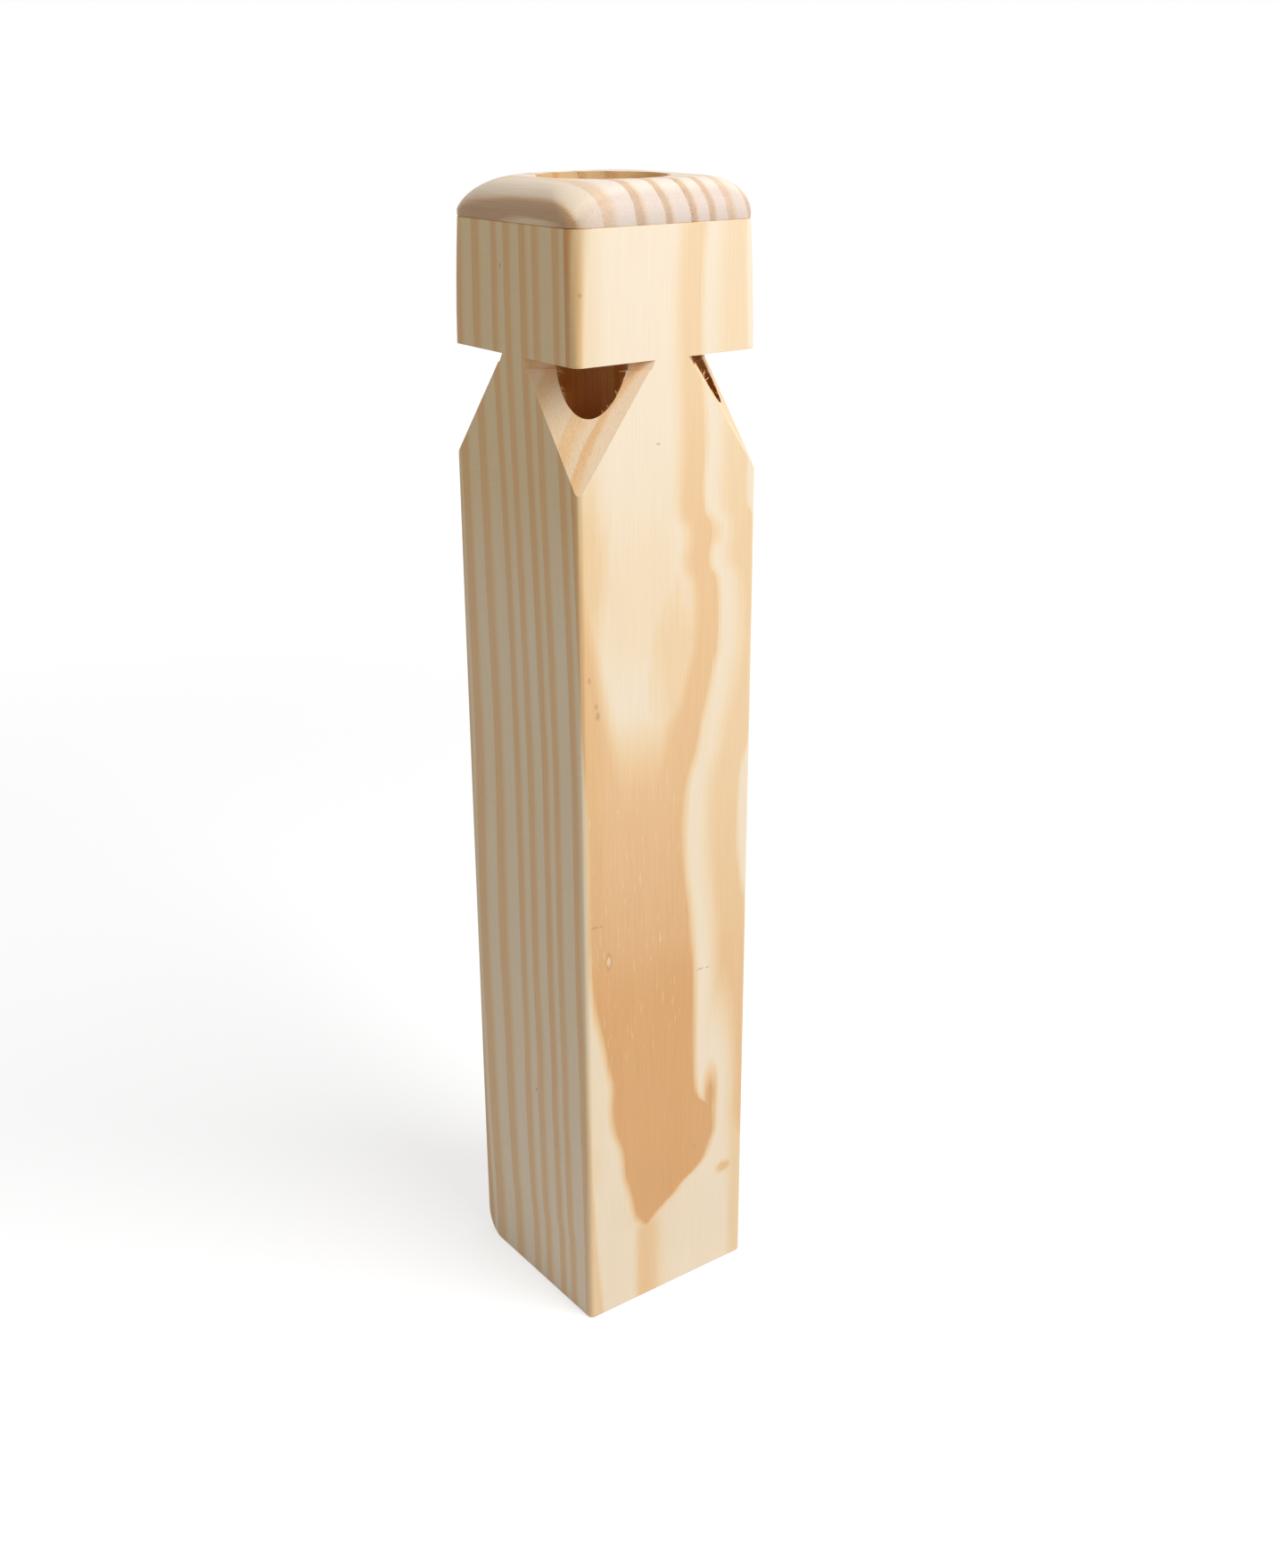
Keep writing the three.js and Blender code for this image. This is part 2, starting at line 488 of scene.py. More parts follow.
def circle(centre, radius, height, sides):
    return [Vector((centre.x + radius * cos(turn), centre.y + radius * sin(turn), height))
            for turn in spread(0, 2 * pi, sides)[:-1]]


def bit(name, centre, levels):
    """A round cutter through pairs of radius and height. It sticks out above the block."""
    levels = levels + [(levels[-1][0], JOINT_HEIGHT + BIT_LEAD)]
    rings = [circle(centre, radius, height, BORE_SIDES) for radius, height in levels]
    return skin("bit_" + name, rings)


def tube_bit(corner):
    """A straight bit with a blunt point."""
    bottom = SHOULDER_HEIGHT - TUBE_DEPTHS[corner]
    tip = BORE_RADIUS / tan(DRILL_POINT_ANGLE / 2)
    return bit(corner, bore_centre(corner), [(TIP_RADIUS, bottom), (BORE_RADIUS, bottom + tip)])


tube_bits = {corner: tube_bit(corner) for corner in CORNERS}
mouth_bit = bit("mouth", Vector((0, 0)), [(HOLE_RADIUS, JOINT_HEIGHT - HOLE_OVERDRILL)])
print("bits:", [made.name for made in (mouth_bit, *tube_bits.values())])

# %% [markdown]
# Each corner has a notch: a saw kerf makes the flat shoulder, and a long slanting cut makes
# the ramp that opens the tube. The notches were cut by hand, so no two are quite alike, and
# the one at the front right is turned a little. A notch is a wedge. It is drawn once in the
# upright plane along its way out, and then drawn out sideways. The small step at the foot of
# the kerf is where the saw went a trace deeper than the slanting cut.

# %% Notch saws
KERF_HEIGHT = 1.6
KERF_STEP = 0.25
# How far each notch runs from its corner along the front or rear and along the side
NOTCH_LEGS = {"rear_right": (15.8, 15.8), "rear_left": (15.6, 16.2), "front_left": (15.8, 15.8),
              "front_right": (15.3, 17.4)}
RAMP_HEIGHTS = {"rear_right": 21.7, "rear_left": 19.8, "front_left": 21.4, "front_right": 21.4}

sawn = bpy.data.materials.new("sawn_pine")


def notch_plan(corner):
    """A notch seen from above: its way out, where it starts along that way, and its reach."""
    side, depth = CORNERS[corner]
    face_leg, side_leg = NOTCH_LEGS[corner]
    out = Vector((side * side_leg, depth * face_leg)).normalized()
    start = out.dot(Vector((side * (HALF_WIDTH - face_leg), depth * HALF_WIDTH)))
    reach = out.dot(Vector((side * HALF_WIDTH, depth * HALF_WIDTH))) - start
    return out, start, reach


def notch_saw(corner):
    """The wedge that a notch takes away, drawn in the upright plane along its way out."""
    way, start, reach = notch_plan(corner)
    ramp_height = RAMP_HEIGHTS[corner]
    kerf_foot = SHOULDER_HEIGHT - KERF_HEIGHT
    ramp_start = start + KERF_HEIGHT * reach / ramp_height
    outside = start + 2 * reach
    profile = [(start, SHOULDER_HEIGHT), (ramp_start - KERF_STEP, kerf_foot), (ramp_start, kerf_foot),
               (outside, SHOULDER_HEIGHT - 2 * ramp_height), (outside, SHOULDER_HEIGHT)]
    out = Vector((way.x, way.y, 0))
    across = Vector((-out.y, out.x, 0))
    up = Vector((0, 0, 1))
    rings = []
    for end in (across * (-2 * reach), across * (2 * reach)):
        rings.append([end + out * run + up * height for run, height in profile])
    return skin("saw_" + corner, rings)


tools = [(mouth_bit, pocket)]
for corner in CORNERS:
    tools += [(notch_saw(corner), sawn), (tube_bits[corner], bored)]
cutters = []
for tool, finish in tools:
    tool.materials.append(finish)
    cutters.append(show(tool.name, tool))
print("cutters:", [cutter.name for cutter in cutters])

# %% [markdown]
# Boolean modifiers make the cuts. After them every new edge would be razor sharp, which wood
# never is. So points that nearly coincide are welded, needless edges inside flat faces are
# dissolved, and the convex edges get a tiny rounding that catches the light as a thin line.

# %% Cut the block
CUT_EASING = 0.14
CUT_STEPS = 2
ROUND_PROFILE = 0.5
SHARP_ANGLE = radians(28)
FLAT_ANGLE = radians(0.2)
WELD = 0.004

planed = bpy.data.materials.new("planed_pine")
block.data.materials.append(planed)
for cutter in cutters:
    cut = block.modifiers.new("cut_" + cutter.name, "BOOLEAN")
    cut.operation = "DIFFERENCE"
    cut.solver = "EXACT"
    cut.object = cutter
    cut.material_mode = "TRANSFER"
settle(block)
for cutter in cutters:
    bpy.data.objects.remove(cutter)

shape = bmesh.new()
shape.from_mesh(block.data)
bmesh.ops.remove_doubles(shape, verts=shape.verts, dist=WELD * MM)
bmesh.ops.dissolve_limit(shape, angle_limit=FLAT_ANGLE, verts=shape.verts, edges=shape.edges,
                         delimit={"MATERIAL"})
sharp = [edge for edge in shape.edges if edge.is_convex and edge.calc_face_angle(0) > SHARP_ANGLE]
bmesh.ops.bevel(shape, geom=sharp, offset=CUT_EASING * MM, offset_type="OFFSET",
                segments=CUT_STEPS, profile=ROUND_PROFILE, affect="EDGES", clamp_overlap=True)
shape.to_mesh(block.data)
shape.free()
print("rounded", len(sharp), "edges of the block")

# %% [markdown]
# A piece is shaded smooth, with crisp edges where two faces meet at a clear angle. Beside the
# narrow roundings, weighted normals let the large faces decide, so those still look flat.

# %% Smooth shading
SMOOTH_ANGLE = radians(50)


def smooth(piece):
    """Smooth shading with crisp edges, where flat faces stay flat."""
    piece.data.shade_smooth()
    piece.data.set_sharp_from_angle(angle=SMOOTH_ANGLE)
    level = piece.modifiers.new("flat_faces", "WEIGHTED_NORMAL")
    level.keep_sharp = True
    return settle(piece)


smooth(block)
print("the block has", len(block.data.polygons), "faces and the finishes",
      [material.name for material in block.data.materials])

# %% [markdown]
# The mouthpiece is a square plate with a hole to blow into, glued to the head and then
# rounded over on a router and by hand. Its rings go all the way round its section: up the
# outside, over the roundover, across the top, down the hole and back underneath. So its
# outline has to turn from a square into a circle on the way to the hole.

# %% Mouthpiece plate
PLATE_SIDE_STEPS = 14
PLATE_RISE = 5.5
PLATE_RUNS = {"left": 6.3, "right": 5.0, "front": 5.5, "rear": 5.6}
ROUNDOVER_STEPS = 14
PLATE_TOP_RADII = {"rear_right": 6.5, "rear_left": 11.0, "front_left": 9.0, "front_right": 5.6}
HOLE_EASING = 0.45
HOLE_STEPS = 4
TOP_STEPS = 8
WALL_STEPS = 8


def toward_hole(outline, share):
    """Moves an outline straight towards the hole's circle. At a share of 1 it is that circle."""
    rim = HOLE_RADIUS + HOLE_EASING
    return [point.lerp(point.normalized() * rim, share) for point in outline]


def hole_circle(radius, outline):
    """A circle with one point behind each point of the outline."""
    return [point.normalized() * radius for point in outline]


joint_outline = rounded_outline(evenly(0), JOINT_RADII, PLATE_SIDE_STEPS)
low_outline = rounded_outline(evenly(JOINT_EASING), JOINT_RADII, PLATE_SIDE_STEPS)
band_top = PLATE_TOP - PLATE_RISE
plate_rings = [at_height(low_outline, JOINT_HEIGHT),
               at_height(joint_outline, JOINT_HEIGHT + JOINT_EASING)]
for angle in spread(0, pi / 2, ROUNDOVER_STEPS):
    insets = {side: run * (1 - cos(angle)) for side, run in PLATE_RUNS.items()}
    radii = blend_radii(JOINT_RADII, PLATE_TOP_RADII, sin(angle))
    top_outline = rounded_outline(insets, radii, PLATE_SIDE_STEPS)
    plate_rings.append(at_height(top_outline, band_top + PLATE_RISE * sin(angle)))
for share in spread(0, 1, TOP_STEPS)[1:]:
    plate_rings.append(at_height(toward_hole(top_outline, share), PLATE_TOP))
for rise, run in quarter_steps(HOLE_STEPS)[-2::-1]:
    rim = hole_circle(HOLE_RADIUS + run * HOLE_EASING, top_outline)
    plate_rings.append(at_height(rim, PLATE_TOP - HOLE_EASING * (1 - rise)))
for height in spread(PLATE_TOP - HOLE_EASING, JOINT_HEIGHT, WALL_STEPS)[1:]:
    plate_rings.append(at_height(hole_circle(HOLE_RADIUS, top_outline), height))
plate = show("pine_mouthpiece", skin("pine_mouthpiece", plate_rings, through=True))
smooth(plate)
print("the plate has", len(plate_rings), "rings of", len(plate_rings[0]), "points")

# %% [markdown]
# A plug is a length of hardwood dowel glued into the top of each tube. One side is planed
# flat, and the thin slot between that flat and the tube wall is the windway that blows on
# the window's edge. The dowel is drawn as a circle of points, and those past the flat are
# pushed back on to it. The real one is glued in tight, so only a hair of space is left.

# %% Plugs
GLUE_LINE = 0.03
WINDWAY_DEPTH = 1.6
PLUG_CHAMFER = 0.4
PLUG_SIDES = 96


def plug_ring(corner, radius, flat, height):
    """A circle whose points beyond the flat are pushed back on to it."""
    side, depth = CORNERS[corner]
    out = Vector((side, depth)).normalized()
    centre = bore_centre(corner)
    ring = []
    for point in circle(centre, radius, height, PLUG_SIDES):
        past = max((point.xy - centre).dot(out) - flat, 0)
        ring.append(Vector((point.x - past * out.x, point.y - past * out.y, height)))
    return ring


def dowel_plug(corner):
    radius = BORE_RADIUS - GLUE_LINE
    flat = BORE_RADIUS - WINDWAY_DEPTH
    rings = [plug_ring(corner, radius, flat, SHOULDER_HEIGHT),
             plug_ring(corner, radius, flat, PLUG_TOP - PLUG_CHAMFER),
             plug_ring(corner, radius - PLUG_CHAMFER, flat - PLUG_CHAMFER, PLUG_TOP)]
    return smooth(show("dowel_plug_" + corner, skin("dowel_plug_" + corner, rings)))


plugs = {corner: dowel_plug(corner) for corner in CORNERS}
print("plugs:", [plug.name for plug in plugs.values()])

# %% [markdown]
# Where the ramp breaks through into a tube, the drill and the knife leave torn fibres round
# the window. They are too many to place by hand, and no two are alike, so Geometry Nodes
# strew them along the rim. The rim is a plain line of points. Each point carries the way a
# torn fibre leans, which is into the opening, and how frayed the rim is there, which is most
# high up on both sides, where the knife left the wood across its grain.

# %% Window rims
RIM_POINTS = 90
RIM_LIFT = 0.02
FRAYED_HEIGHT = 9.0


def ramp_above(corner, point):
    """Height of a corner's ramp above a point, by the point's distance along the notch."""
    out, start, reach = notch_plan(corner)
    return SHOULDER_HEIGHT - (point.xy.dot(out) - start) * RAMP_HEIGHTS[corner] / reach


rims = bmesh.new()
lean = rims.verts.layers.float_vector.new("lean")
fray = rims.verts.layers.float.new("fray")
for corner, (side, depth) in CORNERS.items():
    centre = bore_centre(corner)
    out = Vector((side, depth)).normalized()
    previous = None
    for point in circle(centre, BORE_RADIUS, 0, RIM_POINTS):
        away = point.xy - centre
        point.z = ramp_above(corner, point) + RIM_LIFT
        if away.dot(out) < 0 or point.z > SHOULDER_HEIGHT - KERF_HEIGHT / 2:
            previous = None
            continue
        vert = rims.verts.new(point * MM)
        vert[lean] = (-away.x / BORE_RADIUS, -away.y / BORE_RADIUS, 0)
        vert[fray] = max(0.0, 1 - (SHOULDER_HEIGHT - point.z) / FRAYED_HEIGHT)
        if previous:
            rims.edges.new((previous, vert))
        previous = vert
rim_mesh = bpy.data.meshes.new("window_fibres")
rims.to_mesh(rim_mesh)
print("rim points:", len(rim_mesh.vertices))
rims.free()

# %% [markdown]
# The tree walks along each rim, drops a point every fraction of a millimetre and sets one
# bent, tapering sliver on it. A Geometry Nodes tree is a small machine with named inputs: it
# takes the rim in and hands the fibres out. Its random numbers start from a seed, so it
# makes the same fibres each time.

# %% Inputs of the fibre tree
FIBRE_INPUTS = {"Spacing": "NodeSocketFloat", "Length": "NodeSocketFloat",
                "Radius": "NodeSocketFloat", "Seed": "NodeSocketInt",
                "Finish": "NodeSocketMaterial"}

fibre_tree = bpy.data.node_groups.new("torn_fibres", "GeometryNodeTree")
sockets = fibre_tree.interface
sockets.new_socket("Rims", in_out="INPUT", socket_type="NodeSocketGeometry")
keys = {name: sockets.new_socket(name, in_out="INPUT", socket_type=kind).identifier
        for name, kind in FIBRE_INPUTS.items()}
sockets.new_socket("Fibres", in_out="OUTPUT", socket_type="NodeSocketGeometry")

web = Web(fibre_tree)
given = web.node("NodeGroupInput").outputs


def chance(low, high, turn):
    """A random number that differs from point to point."""
    inputs = {"Min": low, "Max": high, "Seed": web.math("ADD", given["Seed"], turn)}
    return web.flow("FunctionNodeRandomValue", inputs, output="Value")


def noted(name, kind):
    """A value that the points of the rim carry along."""
    return web.flow("GeometryNodeInputNamedAttribute", {"Name": name}, data_type=kind)


def arrow(x, y, z):
    """Three numbers as one arrow."""
    return web.flow("ShaderNodeCombineXYZ", {"X": x, "Y": y, "Z": z})


print("the tree is fed with", list(keys))

# %% [markdown]
# Most slivers are short and a few are long curls, which is what raising a random number to a
# power gives. Noise makes them stand in tufts, and they are longer where the rim is frayed.

# %% Places and lengths of the fibres
SHORTEST = 0.35
LONG_RARITY = 1.8
TUFT_SIZE = 1.6
TUFTS = (-0.15, 0.2, 0.15, 1.0)
FRAYED = (0.1, 0.7, 0.3, 1.0)

rim_line = web.flow("GeometryNodeMeshToCurve", {"Mesh": given["Rims"]})
inputs = {"Curve": rim_line, "Length": given["Spacing"]}
strewn = web.flow("GeometryNodeResampleCurve", inputs, mode="LENGTH")
tufts = web.flow("GeometryNodeInputPosition").noise((TUFT_SIZE * MM,) * 3)
length = chance(SHORTEST, 1.0, 1) ** LONG_RARITY
length = length * tufts.between(*TUFTS) * noted("fray", "FLOAT").between(*FRAYED)
length = length * given["Length"]
print("chance makes a fibre up to", round(SHORTEST ** -LONG_RARITY, 1), "times as long as another")

# %% [markdown]
# One sliver is a bent line of length 1 with a thin four-sided profile drawn along it, and it
# is scaled to size where it stands. It gets thinner towards its end, as a torn fibre does.

# %% One sliver
FIBRE_SIDES = 4
FIBRE_STEPS = 6
FIBRE_END = 0.25
SPINE = {"Start": (0, 0, 0), "Middle": (0.05, 0, 0.55), "End": (0.42, 0, 1.0)}

spine = web.flow("GeometryNodeCurveQuadraticBezier", {"Resolution": FIBRE_STEPS, **SPINE})
along = web.flow("GeometryNodeSplineParameter", output="Factor")
taper = along.between(0.0, 1.0, 1.0, FIBRE_END, smooth=False)
spine = web.flow("GeometryNodeSetCurveRadius", {"Curve": spine, "Radius": taper})
profile = web.flow("GeometryNodeCurvePrimitiveCircle", {"Resolution": FIBRE_SIDES, "Radius": 1.0})
thick = web.math("DIVIDE", given["Radius"], given["Length"])
inputs = {"Geometry": profile, "Scale": arrow(thick, thick, 1.0)}
profile = web.flow("GeometryNodeTransform", inputs)
inputs = {"Curve": spine, "Profile Curve": profile, "Fill Caps": True}
sliver = web.flow("GeometryNodeCurveToMesh", inputs)
print("a sliver has", FIBRE_STEPS, "steps with", FIBRE_SIDES, "sides each")

# %% [markdown]
# Each sliver leans into the opening and strays from that by chance, more often upwards, and
# it is twisted about its own length by any angle. At the end the slivers are turned into
# real mesh with the finish for torn wood, and the modifier is settled into a plain mesh.

# %% Torn fibres
FIBRE_SPACING = 0.14
FIBRE_LENGTH = 1.8
FIBRE_RADIUS = 0.10
FIBRE_SEED = 11
SWAY = 0.8
STRAY_UP = (-0.5, 1.4)

stray = arrow(chance(-SWAY, SWAY, 2), chance(-SWAY, SWAY, 3), chance(*STRAY_UP, 4))
way = web.vector("ADD", noted("lean", "FLOAT_VECTOR"), stray)
turned = web.flow("FunctionNodeAlignRotationToVector", {"Vector": way}, axis="Z")
twist = arrow(0.0, 0.0, chance(0.0, 2 * pi, 5))
twist = web.flow("FunctionNodeEulerToRotation", {"Euler": twist})
inputs = {"Rotation": turned, "Rotate By": twist}
turned = web.flow("FunctionNodeRotateRotation", inputs, rotation_space="LOCAL")
inputs = {"Points": strewn, "Instance": sliver, "Rotation": turned,
          "Scale": arrow(length, length, length)}
planted = web.flow("GeometryNodeInstanceOnPoints", inputs)
real = web.flow("GeometryNodeRealizeInstances", {"Geometry": planted})
finished = web.flow("GeometryNodeSetMaterial", {"Geometry": real, "Material": given["Finish"]})
web.feed(web.node("NodeGroupOutput").inputs[0], finished)

torn = bpy.data.materials.new("torn_pine")
fibres = show("window_fibres", rim_mesh)
strewing = fibres.modifiers.new("torn_fibres", "NODES")
strewing.node_group = fibre_tree
strewing[keys["Spacing"]] = FIBRE_SPACING * MM
strewing[keys["Length"]] = FIBRE_LENGTH * MM
strewing[keys["Radius"]] = FIBRE_RADIUS * MM
strewing[keys["Seed"]] = FIBRE_SEED
strewing[keys["Finish"]] = torn
settle(fibres)
print("fibre mesh:", len(fibres.data.polygons), "faces")

# %% [markdown]
# Pine shows its growth rings: each year starts pale and grows darker towards a crisp edge.
# The stripes on a face are simply where that face cuts the rings. So the rings are not
# painted on. They are a solid pattern that fills the stick, and every cut through it, such
# as the notches, shows the right figure by itself.
#
# Such a pattern is a group of shader nodes. It takes a place in the stick and hands out four
# numbers: how dark the wood is there, its fibre streaks, how tan it is, with painted shade on
# the left side of the head counted as tan, and whether a mark lies there. These helpers start
# and end a group, and turn a list of points into a curve.

# %% Start and end of a wood pattern
PATTERN_OUTPUTS = ("Late Wood", "Streaks", "Tan And Shade", "Marks")


def place_in_mm(web):
    """Where a point of the wood lies in the stick, in millimetres."""
    spot = web.flow("ShaderNodeTexCoord", output="Object")
    return web.vector("MULTIPLY", spot, (1 / MM, 1 / MM, 1 / MM))


def start_pattern(name):
    """An empty wood pattern, and the place in it."""
    tree = bpy.data.node_groups.new(name, "ShaderNodeTree")
    for label in PATTERN_OUTPUTS:
        tree.interface.new_socket(label, in_out="OUTPUT", socket_type="NodeSocketFloat")
    web = Web(tree)
    return web, place_in_mm(web)


def end_pattern(web, flows):
    """Hands out what the pattern found."""
    outputs = web.node("NodeGroupOutput").inputs
    for label, flow in zip(PATTERN_OUTPUTS, flows):
        web.feed(outputs[label], flow)
    print(web.tree.name, "has", len(web.tree.nodes), "nodes")


def curve(flow, points):
    """A smooth curve through pairs of place and level."""
    places, levels = zip(*points)
    start, span = places[0], places[-1] - places[0]
    low, high = min(levels), max(levels)
    share = flow.between(start, places[-1], smooth=False)
    made = flow.web.node("ShaderNodeFloatCurve", {"Value": share})
    line = made.mapping.curves[0]
    spots = [((place - start) / span, (level - low) / (high - low)) for place, level in points]
    line.points[0].location = spots[0]
    line.points[-1].location = spots[-1]
    for spot in spots[1:-1]:
        line.points.new(*spot)
    for point in line.points:
        point.handle_type = "AUTO_CLAMPED"
    made.mapping.update()
    return Flow(flow.web, made.outputs[0]).between(0.0, 1.0, low, high, smooth=False)


pine, place = start_pattern("stick_figure")
x, y, z = place.parts()
print("a wood pattern hands out", PATTERN_OUTPUTS)

# %% [markdown]
# In this stick the rings lie nearly parallel to the front. The left and right sides cut them
# as straight stripes, while the front just grazes one ring, which shows as a tall tongue
# with its tip near the foot. Two curves say how far the tongue reaches to the left and to
# the right at each height, and an oval adds the ear on its right side. Together they give
# the distance inside the tongue, which is negative outside it. Slow noise bends its outline.

# %% Tongue of the grazed ring
# Pairs of height and place across the front
TONGUE_LEFT = [(0, -3.5), (10, -4.4), (14.5, -5.2), (17, -7.4), (20, -9.2), (24, -10.0),
               (27, -10.8), (30, -11.6), (35, -12.1), (38, -12.9), (41, -13.9), (46, -14.3),
               (50, -14.0), (55, -15.0), (60, -16.0), (66, -17.6), (72, -18.6), (80, -19.2),
               (100, -19.4), (110, -19.6), (125, -22.5), (150, -29.0), (213, -46.0)]
TONGUE_RIGHT = [(0, -6.0), (10, -5.4), (14.5, -4.8), (17, -3.0), (19, -1.0), (21, 2.0),
                (23, 4.4), (25, 8.0), (27, 10.0), (30, 11.4), (34, 12.4), (37, 12.3),
                (39, 11.0), (41, 8.8), (44, 7.6), (48, 7.4), (60, 7.3), (80, 6.0), (100, 4.4),
                (115, 7.2), (130, 10.9), (136, 11.8), (141, 11.7), (146, 11.1), (150, 9.5),
                (154, 10.1), (158, 8.4), (162, 7.9), (170, 8.2), (185, 7.6), (195, 7.5),
                (213, 8.9)]
TIP_BLEND = 2.0
# Its middle across and up, half its width and half its height
EAR = (10.3, 40.6, 2.3, 8.4)
EAR_BLEND = 0.5
WANDER_GRAIN = (8, 8, 40)
WANDER = 0.8


def oval(across, height, shape):
    """Distance from an oval's middle, where 1 is its outline."""
    sides = (across - shape[0]) / shape[2]
    rise = (height - shape[1]) / shape[3]
    return across.web.math("SQRT", sides ** 2.0 + rise ** 2.0)


from_left = x - curve(z, TONGUE_LEFT)
from_right = curve(z, TONGUE_RIGHT) - x
inside = pine.math("SMOOTH_MIN", from_left, from_right, TIP_BLEND)
ear = (1.0 - oval(x, z, EAR)) * EAR[2]
inside = pine.math("SMOOTH_MAX", inside, ear, EAR_BLEND)
inside = inside + place.noise(WANDER_GRAIN) * WANDER
print("the tongue is drawn through", len(TONGUE_LEFT), "and", len(TONGUE_RIGHT), "points")

# %% [markdown]
# Depth is how far a point lies towards the bark, counted in millimetres from the front to
# the back. If the rings were flat, depth would simply be Y. But the grazed ring bulges: it
# rises to the front inside the tongue and dives away from it on both sides. A slope of 0.3
# means 0.3 mm deeper for each millimetre sideways. The bulge fades towards the back, where
# slow noise lets the rings drift. Fine noise along the grain keeps them from looking drawn.

# %% Depth in the stick
SLOPE_INSIDE = 0.16
SLOPE_LEFT = 0.16
# Pairs of height and slope, and of height and the width over which the bulge rises
SLOPE_RIGHT = [(0, 0.36), (40, 0.36), (62, 0.30), (85, 0.28), (138, 0.30), (156, 0.38),
               (213, 0.39)]
BULGE_WIDTH = [(0, 5.0), (80, 5.0), (92, 6.0), (104, 7.6), (116, 9.6), (128, 12.5),
               (142, 17.0), (213, 20.0)]
LEFT_TO_RIGHT = (-2.0, 4.0)
FRONT_WOOD = (-18.5, -16.5, 1.0, 0.0)
CALM_FOOT = (20.0, 36.0, 0.9, 0.0)
BULGE_FADE = (-2.0, 18.0, 1.0, 0.35)
DRIFT_GRAIN = (24, 24, 70)
DRIFT = (-19.0, 19.0, 0.0, 1.9)
ROUGH_GRAIN = (0.5, 0.5, 16)
ROUGHNESS = 0.10

steeper = x.between(*LEFT_TO_RIGHT) * (curve(z, SLOPE_RIGHT) - SLOPE_LEFT)
front = y.between(*FRONT_WOOD)
calm = front * z.between(*CALM_FOOT)
outside = (inside * -1.0).at_least(0.0) * (1.0 - calm)
inside = inside.at_least(0.0).at_most(curve(z, BULGE_WIDTH))
bulge = outside * (SLOPE_LEFT + steeper) - inside * SLOPE_INSIDE
bulge = bulge * y.between(*BULGE_FADE, smooth=False)
drift = place.noise(DRIFT_GRAIN) * y.between(*DRIFT, smooth=False)
rough = place.noise(ROUGH_GRAIN, detail=3.0) * ROUGHNESS
depth = (y + bulge) + (drift + rough)
print("rings dive away at slopes of", SLOPE_LEFT, "on the left and up to",
      max(slope for _, slope in SLOPE_RIGHT), "on the right")

# %% [markdown]
# Now the rings themselves. Each has its edge at some depth, with a fade before it and almost
# none after it, so a list of edges, fades and strengths is all that the pattern needs. High
# up the stick the grazed ring fades sooner on the front, except close to the left edge. That
# is the same as stretching the depth before its edge, which is done first.

# %% Growth rings of the stick
# Each ring: depth of its crisp edge, length of the fade before it, and how dark it gets
STICK_RINGS = [(-19.1, 2.4, 1.0), (-15.7, 3.0, 0.70), (-9.85, 3.0, 0.66), (-6.2, 3.0, 0.70),
               (-1.3, 3.2, 0.66), (2.9, 3.0, 0.68), (9.7, 4.2, 0.68), (16.5, 4.4, 0.70),
               (19.25, 2.2, 0.85), (24.0, 3.2, 0.6)]
CRISP = 0.16
SOFT_SHARE = 0.55
# Pairs of height and how many times sooner the grazed ring fades
SOONER = [(0, 1.0), (92, 1.0), (105, 1.0), (115, 1.08), (126, 1.35), (138, 1.7), (150, 1.85),
          (170, 1.85), (213, 2.3)]
BESIDE_LEFT_EDGE = (-18.0, -11.0)


def growth_rings(depth, rings):
    """How dark the wood is at a depth, from 0 in pale early wood to 1 in dark late wood."""
    darkest = depth * 0.0
    for edge, fade, strength in rings:
        rise = depth.between(edge - fade, edge - fade * (1 - SOFT_SHARE))
        fall = depth.between(edge - CRISP, edge + CRISP, strength, 0.0, smooth=False)
        darkest = darkest.at_least(rise * fall)
    return darkest


sooner = (curve(z, SOONER) - 1.0) * x.between(*BESIDE_LEFT_EDGE)
before_edge = (depth - STICK_RINGS[0][0]).at_most(0.0)
late = growth_rings(depth + before_edge * sooner, STICK_RINGS)
print("the stick crosses", len(STICK_RINGS), "rings")

# %% [markdown]
# The front needs a few touches more. Its late wood is paler towards the head. Below the tip
# of the tongue a faint tail runs out at the foot, and the next ring just shows along the
# left and the right edge. They lie only in the front's own wood, so no stripe appears inside
# a notch where the real stick has none.

# %% Late wood of the front
# Pairs of height and strength, and of height and how far in the left stripe reaches
PALER = [(0, 1.0), (62, 1.0), (80, 0.88), (105, 0.76), (130, 0.70), (150, 0.67), (165, 0.61),
         (185, 0.50), (213, 0.46)]
LEFT_STRIPE = [(0, -15.8), (15, -17.0), (30, -17.8), (45, -18.4), (60, -19.6), (150, -19.6),
               (175, -17.8), (213, -16.8)]
LEFT_STRIPE_EDGE = (-0.6, 0.5, 0.5, 0.0)
RIGHT_STRIPE = (14.4, 16.6)
RIGHT_STRIPE_TOP = (30.0, 48.0, 0.42, 0.0)
TAIL_LEFT = (-9.2, -6.4)
TAIL_RIGHT = (-4.6, 0.4, 1.0, 0.0)
TAIL_TOP = (15.0, 22.0, 0.62, 0.0)

late = late * front.slide(1.0, curve(z, PALER))
tail = x.between(*TAIL_LEFT) * x.between(*TAIL_RIGHT) * z.between(*TAIL_TOP)
left_stripe = (x - curve(z, LEFT_STRIPE)).between(*LEFT_STRIPE_EDGE)
right_stripe = x.between(*RIGHT_STRIPE) * z.between(*RIGHT_STRIPE_TOP)
late = late.at_least(tail.at_least(left_stripe.at_least(right_stripe)) * front)
print("the tail reaches up to", TAIL_TOP[1], "mm")

